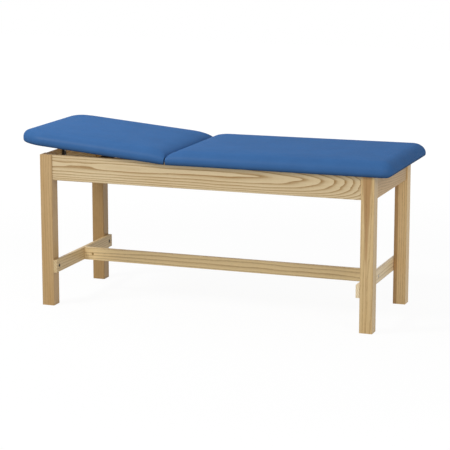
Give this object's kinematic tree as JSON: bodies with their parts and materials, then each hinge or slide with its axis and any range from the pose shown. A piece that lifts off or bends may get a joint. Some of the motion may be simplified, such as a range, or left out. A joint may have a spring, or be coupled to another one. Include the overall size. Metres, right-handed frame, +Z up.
{
  "type": "examination table",
  "caption": "Two-section padded examination table on a wooden H-brace frame, with a backrest that tilts on a continuous hinge and is held by a prop in notched racks.",
  "frame": {"origin": "middle of the bounding box at rest, at floor level", "axes": "+X towards the foot end, +Y towards the back long side, +Z up; the hinge of the backrest runs along Y"},
  "size_m": [1.8654, 0.688, 0.8491],
  "materials": {
    "hardwood": "satin",
    "plywood": "matte",
    "blue_vinyl": "satin",
    "zinc_steel": "satin",
    "dark_steel": "satin",
    "rubber": "matte"
  },
  "bodies": {
    "frame": {"leg_front_head": "hardwood", "leg_front_foot": "hardwood", "leg_back_head": "hardwood", "leg_back_foot": "hardwood", "front_apron": "hardwood", "back_apron": "hardwood", "head_apron": "hardwood", "foot_apron": "hardwood", "head_stretcher": "hardwood", "foot_stretcher": "hardwood", "long_stretcher": "hardwood", "corner_brace_front_head": "hardwood", "corner_brace_front_foot": "hardwood", "corner_brace_back_head": "hardwood", "corner_brace_back_foot": "hardwood", "stretcher_dowels": "hardwood", "hinge_rail": "hardwood", "mid_rail": "hardwood", "front_cleat": "hardwood", "back_cleat": "hardwood", "rack_front": "hardwood", "rack_back": "hardwood", "hanger_bolts": "zinc_steel", "hanger_washers": "zinc_steel", "hanger_nuts": "zinc_steel", "leg_bolts": "zinc_steel", "leg_bolt_washers": "zinc_steel", "centre_bolts": "zinc_steel", "centre_bolt_washers": "zinc_steel", "barrel_nuts": "zinc_steel", "rail_screws": "zinc_steel", "cleat_screws": "zinc_steel", "rack_screws": "zinc_steel", "rest_stop_screws": "zinc_steel", "hinge_seat_leaf": "zinc_steel", "hinge_seat_screws": "zinc_steel", "hinge_pin": "zinc_steel", "rest_stops": "rubber", "seat_board": "plywood", "seat_pad": "blue_vinyl"},
    "backrest": {"back_board": "plywood", "back_pad": "blue_vinyl", "batten_front": "hardwood", "batten_back": "hardwood", "batten_screws": "zinc_steel", "hinge_back_leaf": "zinc_steel", "hinge_back_screws": "zinc_steel", "prop_pivot_bolts": "zinc_steel", "prop_pivot_nuts": "zinc_steel"},
    "prop": {"prop_arm_front": "dark_steel", "prop_arm_back": "dark_steel", "prop_rod": "dark_steel", "prop_spreader": "dark_steel", "prop_caps": "rubber"}
  },
  "joints": [
    {"name": "back_tilt", "type": "hinge", "parent": "frame", "child": "backrest", "pos_m": [-0.15429, 0, 0.755], "axis": [0, 1, 0], "range_deg": [-4.9, 43]},
    {"name": "prop_swing", "type": "hinge", "parent": "backrest", "child": "prop", "pos_m": [-0.43116, 0, 0.7456], "axis": [0, 1, 0], "range_deg": [-86.4, 10]}
  ],
  "couplings": [
    {"joint": "prop_swing", "follows": "back_tilt", "ratio": -2}
  ]
}
